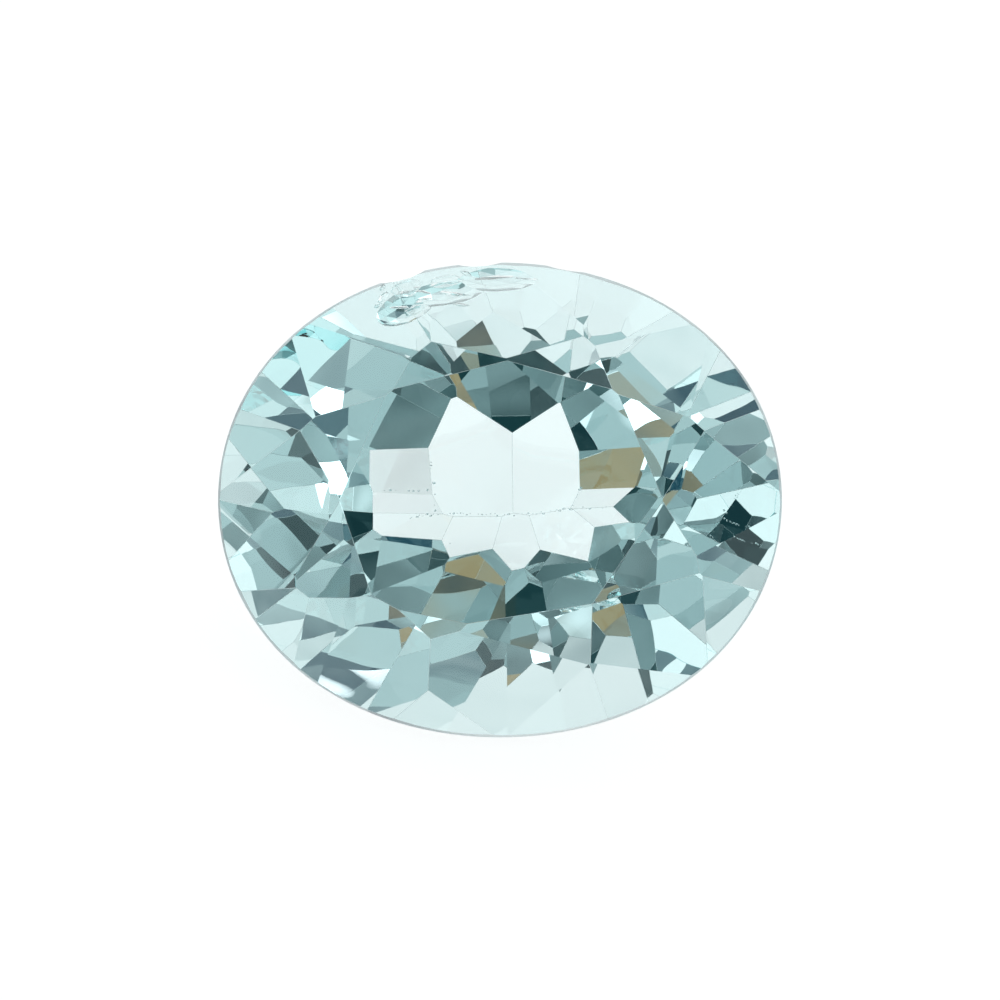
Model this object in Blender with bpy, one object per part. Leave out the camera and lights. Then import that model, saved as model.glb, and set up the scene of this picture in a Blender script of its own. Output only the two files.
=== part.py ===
"""A loose faceted gemstone: an oval brilliant of pale blue topaz, 9.5 mm long.

The stone is cut the way a lapidary cuts it. It starts as an oval blank, and each
facet is one flat cut through it. The crown is set out from the corners of the
table and the tips of the star facets. The pavilion is set out from the junctions
of the facets round its keel and from three cutting angles, and the tier under
the girdle runs from those junctions to the girdle.

Plan positions are in percent of the half length, from the centre of the oval:
x along the length, y along the width. Heights are in the same unit, from the
girdle plane, +z towards the table. At the end the stone lies on one of its
pavilion facets, as a loose stone does, with its table facing up and towards -Y.
"""

import math

import bmesh
import bpy
import numpy as np
from mathutils import Matrix, Vector

# ---------------------------------------------------------------- dimensions

HALF_LENGTH = 0.00475  # m, half the length of the girdle
UNIT = HALF_LENGTH / 100.0
WIDTH_RATIO = 0.842  # width of the girdle over its length
SQUARENESS = 0.012  # how far the oval swells at its diagonals
GIRDLE_SEGMENTS = 128
TABLE_HEIGHT = 25.0
CROWN_EDGE = 1.8  # half the thickness of the girdle band, crown side
PAVILION_EDGE = 2.6  # the same, pavilion side
ROUNDING_ANGLE = 62.0  # degrees, of the cuts that take the edge off the girdle
ROUNDING_DROP = 0.9
# Table corners, from the one nearest +x and on round anticlockwise. Each kite
# facet runs from its corner down to its foot on the girdle, and the feet are
# indexed evenly round the oval.
TABLE_CORNERS = (
    (57.5, 0.0),
    (41.0, 38.5),
    (2.5, 49.0),
    (-39.5, 38.5),
    (-56.5, 0.0),
    (-44.0, -37.0),
    (-11.5, -43.5),
    (32.5, -36.5),
)
KITE_FOOT_SPAN = 7.0  # degrees to each side of a kite's foot
INDEX = 360.0 / len(TABLE_CORNERS)  # degrees between two kites' feet
# Outer tip of the star facet that follows each table corner. The two girdle
# facets below it meet midway between the kites' feet.
STAR_TIPS = (
    (72.0, 24.5),
    (28.0, 59.0),
    (-21.5, 58.0),
    (-70.5, 24.5),
    (-72.0, -31.0),
    (-14.5, -58.0),
    (31.5, -58.0),
    (70.5, -26.5),
)

# Cutting angles of the two tiers at the keel. The shallow star lies under the
# critical angle of topaz, 38 degrees, and lets the ground show through; the
# facets that surround it lie over that angle and mirror the light back up.
STAR_ANGLE = 33.0
EDGE_ANGLE = 38.5  # of the one star facet that already mirrors
SURROUND_ANGLE = 42.5
STAR = ("A", "B", "C", "T", "I", "D1", "D2", "E", "F", "G", "H")
AROUND = ("S1", "S2", "S3", "S4", "S5", "S6", "S7", "S8", "S9", "S10", "S11")
ANGLE_HOLD = 1.0  # pull of the cutting angles; that of the junctions is 10
ROUNDS = 20  # of turning every facet to its junctions and back to its angle
KEEL_POINT = (1.5, -5.5)
KEEL_DEPTH = 78.0
KEEL_FACETS = ("A", "B", "F")
REST_FACET = "before S8"
# Where the facets of those two tiers meet.
JUNCTIONS = (
    (-17.0, 38.0, ("A", "S1", "S2")),
    (4.5, 24.0, ("A", "B", "S2")),
    (21.5, 35.0, ("B", "S2", "S3")),
    (28.0, 18.0, ("B", "T", "S3")),
    (52.5, 19.0, ("T", "S3", "S4")),
    (48.5, 4.5, ("T", "I", "S4", "S5")),
    (29.0, 4.5, ("B", "T", "I")),
    (39.5, -2.5, ("I", "H", "S5")),
    (47.5, -8.0, ("H", "S5", "S6")),
    (34.0, -9.5, ("H", "G", "S6")),
    (31.5, -22.0, ("G", "S6", "S7")),
    (14.5, -17.5, ("G", "F", "S7")),
    (6.0, -27.5, ("F", "S7", "S8")),
    (-2.5, -17.5, ("F", "E", "S8")),
    (-18.5, -21.0, ("E", "S8", "S9")),
    (-19.5, -14.5, ("E", "D2", "S9")),
    (-42.0, -13.0, ("D2", "S9", "S11")),
    (-56.5, -4.5, ("D1", "D2", "S10", "S11")),
    (-42.5, 3.5, ("C", "D1", "S10")),
    (-50.0, 20.0, ("C", "S1", "S10")),
    (-25.5, 17.0, ("A", "C", "S1")),
    (-23.5, 3.5, ("A", "C", "D1")),
    (-23.5, -5.0, ("D1", "A", "D2")),
    (-17.0, -5.5, ("A", "D2", "E")),
    (-0.5, -5.5, ("A", "E", "F")),
    (5.0, -5.5, ("A", "B", "F")),
    (11.0, -5.0, ("B", "F", "G")),
    (25.5, -3.0, ("B", "I", "G", "H")),
)
# The facets that surround the star, in order round the stone. For each: the
# angle on the girdle under it, and the point where the girdle tier starts
# between it and the next one. Its outer corner lies on the way to the girdle,
# where no other place for it is given.
SURROUND_REACH = 0.66
OUTER_CORNERS = {"S8": (-13.0, -41.5), "S7": (29.0, -31.0)}
SURROUND = (
    ("S5", 5.0, (48.5, 4.5)),
    ("S4", 27.0, (52.5, 19.0)),
    ("S3", 52.0, (21.5, 35.0)),
    ("S2", 95.0, (-17.0, 38.0)),
    ("S1", 130.0, (-50.0, 20.0)),
    ("S10", 165.0, (-56.5, -4.5)),
    ("S11", 195.0, (-42.0, -13.0)),
    ("S9", 225.0, (-18.5, -21.0)),
    ("S8", 259.0, (6.0, -27.5)),
    ("S7", 283.0, (31.5, -22.0)),
    ("S6", 320.0, (47.5, -8.0)),
)

# Conchoidal chips along the worn side of the girdle: angle round the oval,
# distance of the scoop's centre from the girdle line (out is +), its height,
# and its half sizes along the girdle, across it and up.
CHIPS = (
    (110.0, 10.0, -1.0, 17.0, 12.0, 14.0),
    (94.0, 10.3, -1.0, 17.0, 12.0, 14.0),
    (77.0, 11.1, -1.0, 22.0, 12.0, 14.0),
    (112.0, -7.5, 11.6, 13.0, 10.0, 6.0),
    (102.0, -6.0, 10.8, 20.0, 8.0, 6.0),
    (91.0, -2.5, 8.8, 22.0, 8.0, 6.0),
)

COLOUR = (0.62, 0.84, 0.88, 1.0)
REFRACTIVE_INDEX = 1.62


# ---------------------------------------------------------------- geometry


def on_girdle(degrees):
    t = math.radians(degrees)
    size = 100.0 * (1.0 + SQUARENESS * math.sin(2.0 * t) ** 2)
    return np.array([size * math.cos(t), size * WIDTH_RATIO * math.sin(t)])


def reach(point):
    """How far out a point lies, 1 on the girdle."""
    return math.hypot(point[0], point[1] / WIDTH_RATIO) / 100.0


def through(*points):
    """The plane z = a x + b y + c through three points."""
    rows = np.array([[p[0], p[1], 1.0] for p in points])
    return np.linalg.solve(rows, np.array([p[2] for p in points]))


def nearest(points, weights):
    """The plane that passes closest to the points."""
    w = np.array(weights)
    rows = np.array([[p[0], p[1], 1.0] for p in points]) * w[:, None]
    return np.linalg.lstsq(rows, np.array([p[2] for p in points]) * w, rcond=None)[0]


def height(plane, point):
    return plane[0] * point[0] + plane[1] * point[1] + plane[2]


def star_tip_height(k):
    """Height of a star tip by how far out it lies between table and girdle."""
    following = TABLE_CORNERS[(k + 1) % len(TABLE_CORNERS)]
    inner = (reach(TABLE_CORNERS[k]) + reach(following)) / 2.0
    share = (1.0 - 0.924 * reach(STAR_TIPS[k])) / (1.0 - inner)
    return TABLE_HEIGHT * min(share, 0.93)


def crown_planes():
    planes = [np.array([0.0, 0.0, TABLE_HEIGHT])]
    count = len(TABLE_CORNERS)
    tips = [star_tip_height(k) for k in range(count)]
    for k in range(count):
        after = (k + 1) % count
        corner = (*TABLE_CORNERS[k], TABLE_HEIGHT)
        next_corner = (*TABLE_CORNERS[after], TABLE_HEIGHT)
        tip = (*STAR_TIPS[k], tips[k])
        last_tip = (*STAR_TIPS[k - 1], tips[k - 1])
        feet = [
            (*on_girdle(k * INDEX + side * KITE_FOOT_SPAN), CROWN_EDGE)
            for side in (-1.0, 1.0)
        ]
        planes.append(nearest((corner, *feet, tip, last_tip), (3.0, 3.0, 3.0, 1.5, 1.5)))
        planes.append(through(corner, next_corner, tip))
        middle = (*on_girdle((k + 0.5) * INDEX), CROWN_EDGE)
        for side in (k * INDEX, (k + 1) * INDEX):
            planes.append(through((*on_girdle(side), CROWN_EDGE), middle, tip))
    return planes


def girdle_rounding(crown):
    """Narrow steep cuts that take the edge off the girdle on the crown side."""
    planes = []
    step = 360.0 / GIRDLE_SEGMENTS
    slope = math.tan(math.radians(ROUNDING_ANGLE))
    for i in range(GIRDLE_SEGMENTS):
        one, other = on_girdle((i - 0.5) * step), on_girdle((i + 0.5) * step)
        middle = (one + other) / 2.0
        outward = np.array([other[1] - one[1], one[0] - other[0]])
        outward /= np.linalg.norm(outward)
        rim = min(height(plane, middle) for plane in crown)
        lean = -slope * outward
        planes.append(
            np.array([lean[0], lean[1], rim - ROUNDING_DROP - lean @ middle])
        )
    return planes


def cutting_angle(name):
    if name in AROUND:
        return SURROUND_ANGLE
    return EDGE_ANGLE if name == "T" else STAR_ANGLE


def first_azimuth(name):
    """From the keel to the middle of the facet's junctions."""
    own = np.array([(x, y) for x, y, meeting in JUNCTIONS if name in meeting])
    away = own.mean(axis=0) - np.array(KEEL_POINT)
    return math.atan2(away[1], away[0])


def settled(names, azimuths):
    """Planes that meet in the junctions, each as near as they allow to its own
    cutting angle at the given azimuth."""
    place = {name: i for i, name in enumerate(names)}
    rows, wanted = [], []

    def ask(terms, value, weight):
        row = np.zeros(3 * len(names))
        for name, k, share in terms:
            row[3 * place[name] + k] += share
        rows.append(row * weight)
        wanted.append(value * weight)

    for x, y, meeting in JUNCTIONS:
        point = (x / 100.0, y / 100.0, 1.0)
        for i, one in enumerate(meeting):
            for other in meeting[i + 1 :]:
                terms = [(one, k, point[k]) for k in range(3)]
                terms += [(other, k, -point[k]) for k in range(3)]
                ask(terms, 0.0, 10.0)
    for name in names:
        slope = math.tan(math.radians(cutting_angle(name)))
        ask(((name, 0, 1.0),), slope * math.cos(azimuths[name]), ANGLE_HOLD)
        ask(((name, 1, 1.0),), slope * math.sin(azimuths[name]), ANGLE_HOLD)
    keel = (KEEL_POINT[0] / 100.0, KEEL_POINT[1] / 100.0, 1.0)
    for name in KEEL_FACETS:
        ask([(name, k, keel[k]) for k in range(3)], -KEEL_DEPTH / 100.0, 5.0)
    found = np.linalg.lstsq(np.array(rows), np.array(wanted), rcond=None)[0]
    return {
        name: np.array([found[3 * i], found[3 * i + 1], 100.0 * found[3 * i + 2]])
        for i, name in enumerate(names)
    }


def pavilion_planes():
    """The facets round the keel and the tier outside them. Each one starts out
    facing away from the keel and is turned, round by round, to the azimuth that
    its junctions ask for, while its cutting angle is kept."""
    names = STAR + AROUND
    azimuths = {name: first_azimuth(name) for name in names}
    for _ in range(ROUNDS):
        planes = settled(names, azimuths)
        azimuths = {n: math.atan2(planes[n][1], planes[n][0]) for n in names}
    return planes


def girdle_tier(upper):
    """Two facets in each gap of the surround. Each one runs from the inner point
    of its gap and the outer corner of the facet beside it to the girdle."""
    planes = {}
    count = len(SURROUND)
    for i, (name, turn, start) in enumerate(SURROUND):
        next_name, next_turn, _ = SURROUND[(i + 1) % count]
        if next_turn < turn:
            next_turn += 360.0
        inner = (
            *start,
            max(height(upper[name], start), height(upper[next_name], start)),
        )
        middle = (*on_girdle((turn + next_turn) / 2.0), -PAVILION_EDGE)
        for facet, side, place in (
            (name, turn, "after"),
            (next_name, next_turn, "before"),
        ):
            foot = (*on_girdle(side), -PAVILION_EDGE)
            outer = OUTER_CORNERS.get(facet, on_girdle(side) * SURROUND_REACH)
            tip = (*outer, height(upper[facet], outer))
            planes[place + " " + facet] = nearest(
                (inner, tip, foot, middle), (2.0, 1.5, 5.0, 5.0)
            )
    return planes


def cut(bm, plane, crown):
    """Removes everything above a crown plane, or below a pavilion plane, and
    closes the cut with one flat facet."""
    sign = 1.0 if crown else -1.0
    normal = Vector((-plane[0] * sign, -plane[1] * sign, sign)).normalized()
    result = bmesh.ops.bisect_plane(
        bm,
        geom=bm.verts[:] + bm.edges[:] + bm.faces[:],
        dist=1e-4,
        plane_co=Vector((0.0, 0.0, plane[2])),
        plane_no=normal,
        clear_outer=True,
    )
    rim = [
        e
        for e in result["geom_cut"]
        if isinstance(e, bmesh.types.BMEdge) and len(e.link_faces) == 1
    ]
    if len(rim) > 2:
        bmesh.ops.contextual_create(bm, geom=rim)


def stone_mesh():
    bm = bmesh.new()
    rim = [
        on_girdle(360.0 * (i + 0.5) / GIRDLE_SEGMENTS) for i in range(GIRDLE_SEGMENTS)
    ]
    low = [bm.verts.new((p[0], p[1], -200.0)) for p in rim]
    high = [bm.verts.new((p[0], p[1], 200.0)) for p in rim]
    bm.faces.new(low[::-1])
    bm.faces.new(high)
    for i in range(GIRDLE_SEGMENTS):
        bm.faces.new((low[i - 1], low[i], high[i], high[i - 1]))
    crown = crown_planes()
    for plane in crown + girdle_rounding(crown):
        cut(bm, plane, True)
    pavilion = pavilion_planes()
    pavilion.update(girdle_tier(pavilion))
    for plane in pavilion.values():
        cut(bm, plane, False)
    bmesh.ops.dissolve_degenerate(bm, dist=0.02, edges=bm.edges[:])
    bmesh.ops.recalc_face_normals(bm, faces=bm.faces[:])
    bmesh.ops.scale(bm, vec=(UNIT, UNIT, UNIT), verts=bm.verts[:])
    return bm, pavilion


def lying_down(bm, plane):
    """The turn and the shift that lay the stone on a pavilion facet, table
    towards -Y, on z = 0 and with the middle of its box over the origin."""
    down = Vector((plane[0], plane[1], -1.0)).normalized()
    facing = Vector((0.0, 0.0, 1.0))
    up = -down
    back = (facing - up * facing.dot(up)).normalized() * -1.0
    side = back.cross(up)
    turn = Matrix((side, back, up)).to_4x4()
    points = [turn @ v.co for v in bm.verts]
    low = [min(p[i] for p in points) for i in range(3)]
    high = [max(p[i] for p in points) for i in range(3)]
    return (
        Matrix.Translation(
            (-(low[0] + high[0]) / 2.0, -(low[1] + high[1]) / 2.0, -low[2])
        )
        @ turn
    )


def topaz():
    material = bpy.data.materials.new("topaz")
    material.use_nodes = True
    shader = material.node_tree.nodes["Principled BSDF"]
    shader.inputs["Base Color"].default_value = COLOUR
    shader.inputs["Metallic"].default_value = 0.0
    shader.inputs["Roughness"].default_value = 0.0
    shader.inputs["IOR"].default_value = REFRACTIVE_INDEX
    shader.inputs["Transmission Weight"].default_value = 1.0
    material.diffuse_color = COLOUR
    return material


def add_object(name, bm, parent):
    mesh = bpy.data.meshes.new(name)
    bm.to_mesh(mesh)
    bm.free()
    obj = bpy.data.objects.new(name, mesh)
    bpy.context.scene.collection.objects.link(obj)
    obj.parent = parent
    return obj


def add_chips(stone, parent):
    for i, (angle, out, z, along, across, tall) in enumerate(CHIPS):
        edge = on_girdle(angle)
        t = math.radians(angle)
        outward = np.array([WIDTH_RATIO * math.cos(t), math.sin(t)])
        outward /= np.linalg.norm(outward)
        spot = edge + outward * out
        bm = bmesh.new()
        bmesh.ops.create_icosphere(bm, subdivisions=3, radius=1.0)
        bmesh.ops.scale(
            bm, vec=(across * UNIT, along * UNIT, tall * UNIT), verts=bm.verts[:]
        )
        bmesh.ops.rotate(
            bm,
            cent=(0.0, 0.0, 0.0),
            matrix=Matrix.Rotation(math.atan2(outward[1], outward[0]), 3, "Z"),
            verts=bm.verts[:],
        )
        bmesh.ops.translate(
            bm, vec=(spot[0] * UNIT, spot[1] * UNIT, z * UNIT), verts=bm.verts[:]
        )
        scoop = add_object("chip_cutter_%d" % (i + 1), bm, parent)
        scoop.hide_render = True
        scoop.display_type = "WIRE"
        chip = stone.modifiers.new("chip_%d" % (i + 1), "BOOLEAN")
        chip.operation = "DIFFERENCE"
        chip.object = scoop


def build():
    for obj in list(bpy.data.objects):
        bpy.data.objects.remove(obj)
    bm, pavilion = stone_mesh()
    frame = bpy.data.objects.new("stone_frame", None)
    bpy.context.scene.collection.objects.link(frame)
    frame.matrix_world = lying_down(bm, pavilion[REST_FACET])
    stone = add_object("topaz", bm, frame)
    stone.data.materials.append(topaz())
    add_chips(stone, frame)


build()
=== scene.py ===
import math

import bmesh
import bpy
from mathutils import Matrix, Vector, noise
from mathutils.bvhtree import BVHTree


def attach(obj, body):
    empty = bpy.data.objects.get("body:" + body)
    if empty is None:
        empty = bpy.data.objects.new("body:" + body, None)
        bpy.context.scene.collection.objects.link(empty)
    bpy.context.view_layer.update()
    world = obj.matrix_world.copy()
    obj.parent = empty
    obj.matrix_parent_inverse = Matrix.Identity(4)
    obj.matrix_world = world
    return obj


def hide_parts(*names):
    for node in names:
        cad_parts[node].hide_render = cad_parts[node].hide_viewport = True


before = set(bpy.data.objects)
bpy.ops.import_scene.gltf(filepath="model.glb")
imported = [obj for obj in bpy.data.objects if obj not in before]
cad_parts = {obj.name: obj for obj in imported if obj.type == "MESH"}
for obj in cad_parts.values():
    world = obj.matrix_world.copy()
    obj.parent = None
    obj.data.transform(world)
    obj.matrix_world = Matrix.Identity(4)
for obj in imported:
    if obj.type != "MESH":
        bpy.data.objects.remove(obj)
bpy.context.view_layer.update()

mm = 0.001

# How the stone lies: along the oval, across it and out of the table.
LONG = Vector((0.9627103, 0.1894301, 0.1931461)).normalized()
FACING = Vector((0.0, -0.7139412, 0.7002056)).normalized()
ACROSS = FACING.cross(LONG).normalized()
LONG = ACROSS.cross(FACING).normalized()
HALF_LENGTH = 4.75 * mm
UNIT = HALF_LENGTH / 100.0
WIDTH_RATIO = 0.842

stone_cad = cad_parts["topaz"]


def table_centre():
    """The middle of the largest flat."""
    total, spot = 0.0, Vector((0.0, 0.0, 0.0))
    for face in stone_cad.data.polygons:
        if face.normal.dot(FACING) > 0.9999:
            total += face.area
            spot += face.center * face.area
    return spot / total


points = [v.co for v in stone_cad.data.vertices]
along = [p.dot(LONG) for p in points]
across = [p.dot(ACROSS) for p in points]
TABLE_HEIGHT = table_centre().dot(FACING)
ORIGIN = (
    LONG * ((min(along) + max(along)) / 2.0)
    + ACROSS * ((min(across) + max(across)) / 2.0)
    + FACING * (TABLE_HEIGHT - 25.0 * UNIT)
)


def place(x, y, z=0.0):
    """A point given in percent of the half length, z up from the girdle."""
    return ORIGIN + (LONG * x + ACROSS * y + FACING * z) * UNIT


# ------------------------------------------------------------------ materials


def new_material(name):
    m = bpy.data.materials.new(name)
    m.use_nodes = True
    return m, m.node_tree, m.node_tree.nodes["Principled BSDF"]


def node(tree, kind, **values):
    n = tree.nodes.new(kind)
    for key, value in values.items():
        setattr(n, key, value)
    return n


def math_node(tree, operation, a, b=None):
    n = node(tree, "ShaderNodeMath", operation=operation)
    for i, v in enumerate((a, b)):
        if v is None:
            continue
        if isinstance(v, (int, float)):
            n.inputs[i].default_value = v
        else:
            tree.links.new(v, n.inputs[i])
    return n.outputs[0]


def add_absorption(tree, density=30.0, colour=(0.08, 0.88, 0.91, 1.0)):
    body = node(tree, "ShaderNodeVolumeAbsorption")
    body.inputs["Color"].default_value = colour
    body.inputs["Density"].default_value = density
    tree.links.new(
        body.outputs[0], tree.nodes["Material Output"].inputs["Volume"]
    )


def topaz_material(name, low, high, clear=1.0, tint=(0.985, 1.0, 0.997)):
    m, t, s = new_material(name)
    s.inputs["Metallic"].default_value = 0.0
    s.inputs["IOR"].default_value = 1.62
    s.inputs["Transmission Weight"].default_value = clear
    coords = node(t, "ShaderNodeTexCoord")
    fine = node(t, "ShaderNodeTexNoise")
    fine.inputs["Scale"].default_value = 900.0
    fine.inputs["Detail"].default_value = 4.0
    t.links.new(coords.outputs["Object"], fine.inputs["Vector"])
    rough = node(t, "ShaderNodeMapRange")
    rough.inputs["From Min"].default_value = 0.45
    rough.inputs["From Max"].default_value = 0.8
    rough.inputs["To Min"].default_value = low
    rough.inputs["To Max"].default_value = high
    t.links.new(fine.outputs[0], rough.inputs["Value"])
    t.links.new(rough.outputs[0], s.inputs["Roughness"])
    shade = node(t, "ShaderNodeMix", data_type="RGBA")
    shade.inputs["A"].default_value = (*tint, 1.0)
    shade.inputs["B"].default_value = (1.0, 1.0, 1.0, 1.0)
    t.links.new(fine.outputs[0], shade.inputs["Factor"])
    t.links.new(shade.outputs["Result"], s.inputs["Base Color"])
    # Hand polishing leaves the flats very slightly uneven.
    slow = node(t, "ShaderNodeTexNoise")
    slow.inputs["Scale"].default_value = 520.0
    slow.inputs["Detail"].default_value = 1.0
    t.links.new(coords.outputs["Object"], slow.inputs["Vector"])
    bump = node(t, "ShaderNodeBump")
    bump.inputs["Strength"].default_value = 1.0
    bump.inputs["Distance"].default_value = 0.012 * mm
    t.links.new(slow.outputs[0], bump.inputs["Height"])
    t.links.new(bump.outputs[0], s.inputs["Normal"])
    add_absorption(t)
    return m


polished = topaz_material("topaz_polished", 0.0, 0.003)
ground = topaz_material("topaz_girdle", 0.3, 0.5, clear=0.55, tint=(0.42, 0.44, 0.46))
worn = topaz_material("topaz_worn_edge", 0.15, 0.35, clear=0.6, tint=(0.90, 0.95, 0.95))

# ------------------------------------------------------------------ the stone


def facets():
    """The cut stone with every facet as one flat face."""
    bm = bmesh.new()
    bm.from_mesh(stone_cad.data)
    bmesh.ops.remove_doubles(bm, verts=bm.verts[:], dist=0.0002 * mm)
    bmesh.ops.dissolve_degenerate(bm, dist=0.0005 * mm, edges=bm.edges[:])
    bmesh.ops.dissolve_limit(
        bm,
        angle_limit=math.radians(0.25),
        verts=bm.verts[:],
        edges=bm.edges[:],
        delimit=set(),
    )
    return bm


def grind_girdle(bm):
    """The girdle and its rounded edge are ground and not polished."""
    for face in bm.faces:
        face.smooth = False
        face.material_index = 1 if abs(face.normal.dot(FACING)) < 0.55 else 0


EDGE_WEAR = 0.16  # width of the worn strip along an edge, percent of the half length


def wear_edges(bm):
    """The sharp edges between the flats are worn to a narrow matt strip."""

    def wide(face):
        return (
            abs(face.normal.dot(FACING)) >= 0.55
            and face.calc_area() > 3.0 * UNIT * UNIT
        )

    edges = [
        e
        for e in bm.edges
        if e.is_manifold
        and all(wide(f) for f in e.link_faces)
        and e.calc_length() > 2.0 * UNIT
        and e.calc_face_angle(0.0) > 0.15
    ]
    made = bmesh.ops.bevel(
        bm,
        geom=edges,
        offset=EDGE_WEAR * UNIT,
        offset_type="WIDTH",
        segments=1,
        profile=0.5,
        affect="EDGES",
        clamp_overlap=False,
    )
    return made["faces"]


def uneven_ball(bm, centre, axes, sizes, seed, rough, wave, levels, inward):
    """A small closed lump. Turned inward it is a gas-filled gap in the crystal."""
    made = bmesh.ops.create_icosphere(bm, subdivisions=levels, radius=1.0)
    for v in made["verts"]:
        p = v.co.copy()
        lump = 1.0 + rough * noise.noise(p * wave + Vector((seed, 2.3 * seed, 7.1)))
        p *= lump
        p.z += 0.6 * rough * noise.noise(p * 0.9 * wave + Vector((3.7 * seed, 1.0, seed)))
        v.co = centre + axes[0] * p.x * sizes[0] + axes[1] * p.y * sizes[1] + axes[2] * p.z * sizes[2]
    found = {f for v in made["verts"] for f in v.link_faces}
    for f in found:
        f.smooth = True
        f.material_index = 0
    if inward:
        bmesh.ops.reverse_faces(bm, faces=list(found))


def turned(spin, lean, lean_to):
    """Three axes: the third leans from the table's normal, the others are spun."""
    n = (
        FACING * math.cos(math.radians(lean))
        + (
            LONG * math.cos(math.radians(lean_to))
            + ACROSS * math.sin(math.radians(lean_to))
        )
        * math.sin(math.radians(lean))
    )
    u = (LONG - n * LONG.dot(n)).normalized()
    w = n.cross(u)
    t = math.radians(spin)
    return u * math.cos(t) + w * math.sin(t), w * math.cos(t) - u * math.sin(t), n


# Healed cracks under the worn part of the crown: plan position, depth under the
# surface, half length, half width, half gap (percent of the half length), spin,
# lean and the side it leans to (degrees), seed.
CRACKS = (
    (-33.0, 74.5, 1.6, 5.4, 3.0, 0.24, 14.0, 34.0, 110.0, 1.0),
    (-41.0, 71.5, 1.6, 2.4, 1.6, 0.20, 40.0, 48.0, 130.0, 3.0),
    (-19.5, 77.0, 1.4, 6.0, 2.2, 0.22, 10.0, 42.0, 95.0, 4.0),
    (-30.0, 66.5, 2.2, 4.4, 1.8, 0.22, 24.0, 28.0, 200.0, 6.0),
    (-16.0, 72.5, 2.0, 5.2, 1.2, 0.18, -8.0, 58.0, 80.0, 7.0),
    (-2.0, 78.5, 1.6, 7.0, 1.2, 0.16, 2.0, 62.0, 95.0, 9.0),
    (-41.5, 75.0, 1.2, 1.5, 0.9, 0.30, 60.0, 50.0, 120.0, 11.0),
    (-43.0, 68.5, 1.2, 1.5, 1.0, 0.30, 20.0, 40.0, 150.0, 12.0),
    (-35.5, 68.0, 1.6, 3.6, 0.9, 0.18, -14.0, 62.0, 100.0, 13.0),
    (-27.0, 70.5, 2.0, 3.0, 0.8, 0.18, 28.0, 56.0, 85.0, 14.0),
    (-27.5, 73.5, 3.4, 3.4, 0.8, 0.18, -24.0, 60.0, 90.0, 15.0),
    (-14.0, 68.5, 2.2, 3.0, 0.8, 0.16, -6.0, 50.0, 85.0, 16.0),
    (-12.0, 80.0, 1.0, 2.2, 0.8, 0.22, -30.0, 45.0, 100.0, 17.0),
    (9.5, 78.0, 1.2, 4.2, 0.7, 0.14, -14.0, 60.0, 90.0, 18.0),
)
# The worn ridge lines of the keel, as plan points.
KEEL_LINES = (
    ((-33.0, -6.3), (-23.5, -5.0), (-14.0, -4.8), (-6.0, -4.8), (5.0, -5.5), (14.0, -4.8), (25.5, -3.0)),
    ((25.5, -3.0), (29.0, 4.5)),
    ((25.5, -3.0), (32.0, -2.8), (39.5, -2.5)),
    ((-25.5, 17.0), (-23.5, 3.5), (-23.5, -5.0)),
    ((-42.5, 3.5), (-33.0, 3.6), (-23.5, 3.5)),
    ((-18.5, -21.0), (-17.0, -5.5)),
)
KEEL_WEAR = (1.0, 0.55, 0.6, 0.5, 0.3, 0.12)


def hash01(i, j):
    return noise.cell(Vector((i * 1.37 + 0.5, j * 3.11 + 0.5, 0.5))) % 1.0


def add_wear(bm, tree_in):
    axes = turned(0.0, 0.0, 0.0)
    placed = []
    for line, amount in zip(KEEL_LINES, KEEL_WEAR):
        for k in range(len(line) - 1):
            (x0, y0), (x1, y1) = line[k], line[k + 1]
            length = math.hypot(x1 - x0, y1 - y0)
            steps = max(2, round(length / 0.9))
            for i in range(steps):
                key = k * 97 + i
                if hash01(key, x0 + 50.0) > amount * 0.8:
                    continue
                f = (i + hash01(key, 3.0)) / steps
                x = x0 + (x1 - x0) * f + (hash01(key, 5.0) - 0.5) * 0.5
                y = y0 + (y1 - y0) * f + (hash01(key, 7.0) - 0.5) * 0.9
                low = place(x, y, -300.0)
                hit, normal, index, far = tree_in.ray_cast(low, FACING)
                if hit is None:
                    continue
                size = (0.14 + 0.34 * hash01(key, 11.0) ** 2) * UNIT
                wide = size * (1.0 + 0.8 * hash01(key, 13.0))
                centre = hit + FACING * (size * 2.0 + 0.15 * UNIT)
                if any((centre - c).length < 1.3 * (wide + w) for c, w in placed):
                    continue
                placed.append((centre, wide))
                uneven_ball(
                    bm,
                    centre,
                    axes,
                    (wide, size, size * 0.5),
                    key * 0.31 + x0,
                    0.5,
                    1.6,
                    1,
                    True,
                )


def add_cracks(bm, tree_in):
    for x, y, depth, a, b, gap, spin, lean, lean_to, seed in CRACKS:
        hit, normal, index, far = tree_in.ray_cast(place(x, y, 300.0), -FACING)
        if hit is None:
            continue
        uneven_ball(
            bm,
            hit - FACING * (depth + 0.55 * b) * UNIT,
            turned(spin, lean, lean_to),
            (a * UNIT, b * UNIT, gap * UNIT),
            seed,
            0.30,
            1.3,
            4,
            True,
        )


def make_stone():
    bm = facets()
    strips = wear_edges(bm)
    tree_in = BVHTree.FromBMesh(bm)
    grind_girdle(bm)
    for face in strips:
        face.material_index = 2
    add_wear(bm, tree_in)
    add_cracks(bm, tree_in)
    mesh = bpy.data.meshes.new("topaz_stone")
    bm.to_mesh(mesh)
    bm.free()
    made = bpy.data.objects.new("topaz_stone", mesh)
    bpy.context.scene.collection.objects.link(made)
    made.data.materials.append(polished)
    made.data.materials.append(ground)
    made.data.materials.append(worn)
    return made


stone = make_stone()
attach(stone, "root")
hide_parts("topaz")

# ------------------------------------------------------------------ floor

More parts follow.
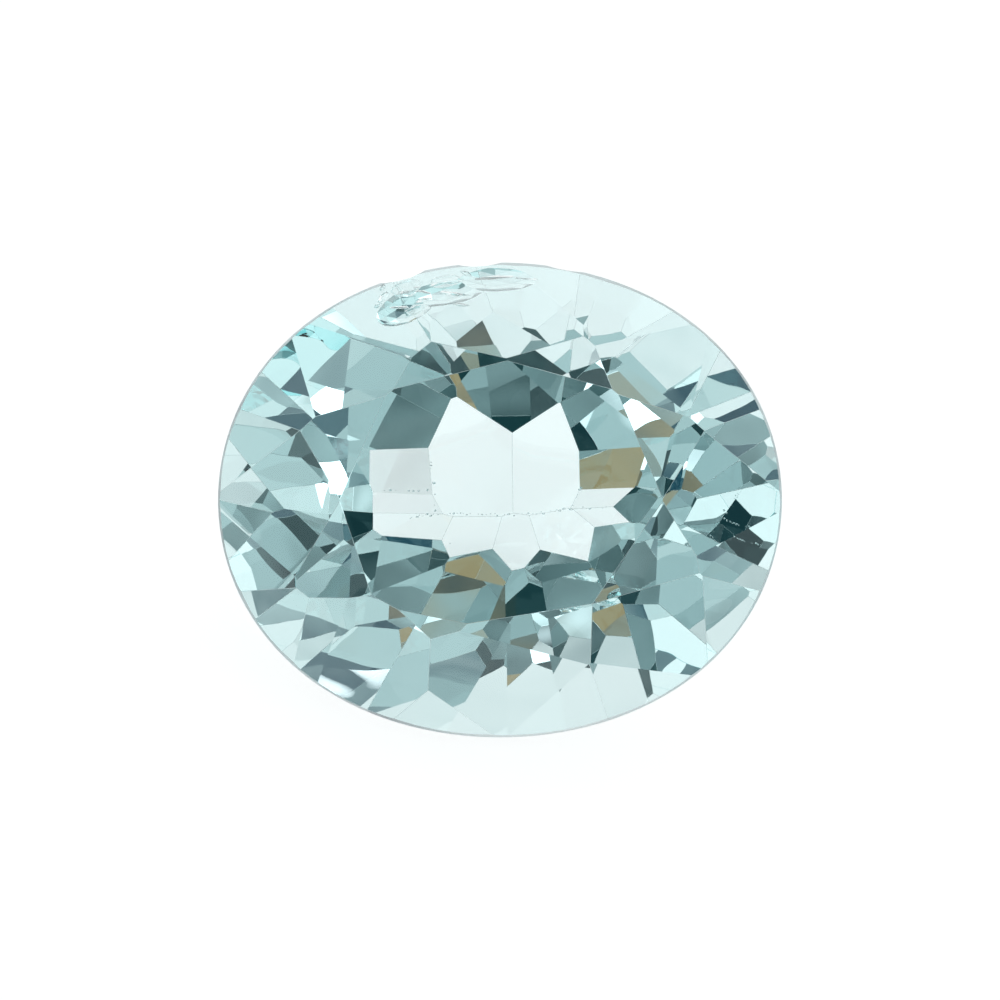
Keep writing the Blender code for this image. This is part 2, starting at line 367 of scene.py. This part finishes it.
m_floor, t_floor, s_floor = new_material("floor_white")
s_floor.inputs["Base Color"].default_value = (0.40, 0.40, 0.40, 1.0)
s_floor.inputs["Roughness"].default_value = 0.9
s_floor.inputs["Emission Color"].default_value = (1.0, 1.0, 1.0, 1.0)
s_floor.inputs["Emission Strength"].default_value = 0.82
mesh = bpy.data.meshes.new("floor")
half = 0.6
mesh.from_pydata(
    [(-half, -half, 0), (half, -half, 0), (half, half, 0), (-half, half, 0)],
    [],
    [(0, 1, 2, 3)],
)
floor = bpy.data.objects.new("floor", mesh)
floor.data.materials.append(m_floor)
bpy.context.scene.collection.objects.link(floor)
floor.location.z = -0.01 * mm

# ------------------------------------------------------------------ light

world = bpy.data.worlds.new("studio")
bpy.context.scene.world = world
world.use_nodes = True
world.cycles.sampling_method = "NONE"
tree = world.node_tree
tree.nodes.clear()
out = node(tree, "ShaderNodeOutputWorld")
background = node(tree, "ShaderNodeBackground")
tree.links.new(background.outputs[0], out.inputs[0])
coords = node(tree, "ShaderNodeTexCoord")


def angle_to(direction):
    """Degrees between the looked-up direction and a fixed one."""
    dot = node(tree, "ShaderNodeVectorMath", operation="DOT_PRODUCT")
    tree.links.new(coords.outputs["Generated"], dot.inputs[0])
    dot.inputs[1].default_value = direction.normalized()
    return math_node(
        tree, "MULTIPLY", math_node(tree, "ARCCOSINE", dot.outputs["Value"]), 180.0 / math.pi
    )


def sky(polar, azimuth):
    """A direction by its angle from the table's normal and round it."""
    p, a = math.radians(polar), math.radians(azimuth)
    return (
        LONG * (math.sin(p) * math.cos(a))
        + ACROSS * (math.sin(p) * math.sin(a))
        + FACING * math.cos(p)
    )


ramp = node(tree, "ShaderNodeValToRGB")
scaled = math_node(tree, "DIVIDE", angle_to(FACING), 180.0)
tree.links.new(scaled, ramp.inputs[0])
steps = (
    (0.0, (0.01, 0.04, 0.045)),
    (13.0, (0.015, 0.05, 0.055)),
    (20.0, (0.25, 0.35, 0.36)),
    (40.0, (0.44, 0.55, 0.56)),
    (60.0, (0.62, 0.70, 0.70)),
    (80.0, (0.90, 0.94, 0.94)),
    (180.0, (1.0, 1.0, 1.0)),
)
ramp.color_ramp.elements[0].position = 0.0
ramp.color_ramp.elements[0].color = (*steps[0][1], 1.0)
ramp.color_ramp.elements[1].position = 1.0
ramp.color_ramp.elements[1].color = (*steps[-1][1], 1.0)
for angle, colour in steps[1:-1]:
    e = ramp.color_ramp.elements.new(angle / 180.0)
    e.color = (*colour, 1.0)
current = ramp.outputs["Color"]

# Two rings of soft dark gaps between the lights, evenly spaced: angle from the
# table's normal, number of gaps, angle of the first one, half width, colour.
DARK = (0.01, 0.035, 0.04)
TAN = (0.43, 0.31, 0.17)
DEEP = (0.02, 0.07, 0.10)
LAMP = (3.0, 3.1, 3.2)
RINGS = (
    (31.0, 5, 20.0, 10.0, DARK),
    (56.0, 7, 5.0, 11.0, DEEP),
)
# One warm card on each side and two small lamps.
WARM = ((46.5, 155.0, 5.0), (24.0, 9.0, 8.5))
LAMPS = ((61.0, 36.0, 5.0), (36.0, 144.0, 3.5))
SOFTNESS = 3.5  # degrees


def add_card(current, polar, azimuth, size, colour):
    off = angle_to(sky(polar, azimuth))
    inside = node(tree, "ShaderNodeMapRange")
    inside.inputs["From Min"].default_value = size + SOFTNESS
    inside.inputs["From Max"].default_value = size - SOFTNESS
    tree.links.new(off, inside.inputs["Value"])
    mix = node(tree, "ShaderNodeMix", data_type="RGBA")
    tree.links.new(inside.outputs[0], mix.inputs["Factor"])
    tree.links.new(current, mix.inputs["A"])
    mix.inputs["B"].default_value = (*colour, 1.0)
    return mix.outputs["Result"]


for polar, count, first, size, colour in RINGS:
    for i in range(count):
        current = add_card(current, polar, first + i * 360.0 / count, size, colour)
for polar, azimuth, size in WARM:
    current = add_card(current, polar, azimuth, size, TAN)
for polar, azimuth, size in LAMPS:
    current = add_card(current, polar, azimuth, size, LAMP)
tree.links.new(current, background.inputs["Color"])
background.inputs["Strength"].default_value = 1.0

# ------------------------------------------------------------------ camera

camera_data = bpy.data.cameras.new("camera")
camera_data.lens = 300.0
camera_data.sensor_width = 36.0
camera = bpy.data.objects.new("camera", camera_data)
bpy.context.scene.collection.objects.link(camera)
PIXELS_PER_UNIT = 2.82  # of a 1000 pixel picture, at the girdle
width = 1000.0 / PIXELS_PER_UNIT * UNIT
distance = width * camera_data.lens / camera_data.sensor_width
camera.matrix_world = Matrix.Translation(ORIGIN + FACING * distance) @ Matrix(
    (LONG, ACROSS, FACING)
).transposed().to_4x4()
camera_data.clip_start = distance * 0.2
camera_data.clip_end = distance * 20.0
bpy.context.scene.camera = camera

scene = bpy.context.scene
scene.cycles.max_bounces = 18
scene.cycles.transmission_bounces = 18
scene.cycles.glossy_bounces = 18
scene.cycles.diffuse_bounces = 3
scene.cycles.transparent_max_bounces = 16
scene.cycles.use_denoising = True
scene.view_settings.view_transform = "Standard"
scene.view_settings.exposure = 0.0
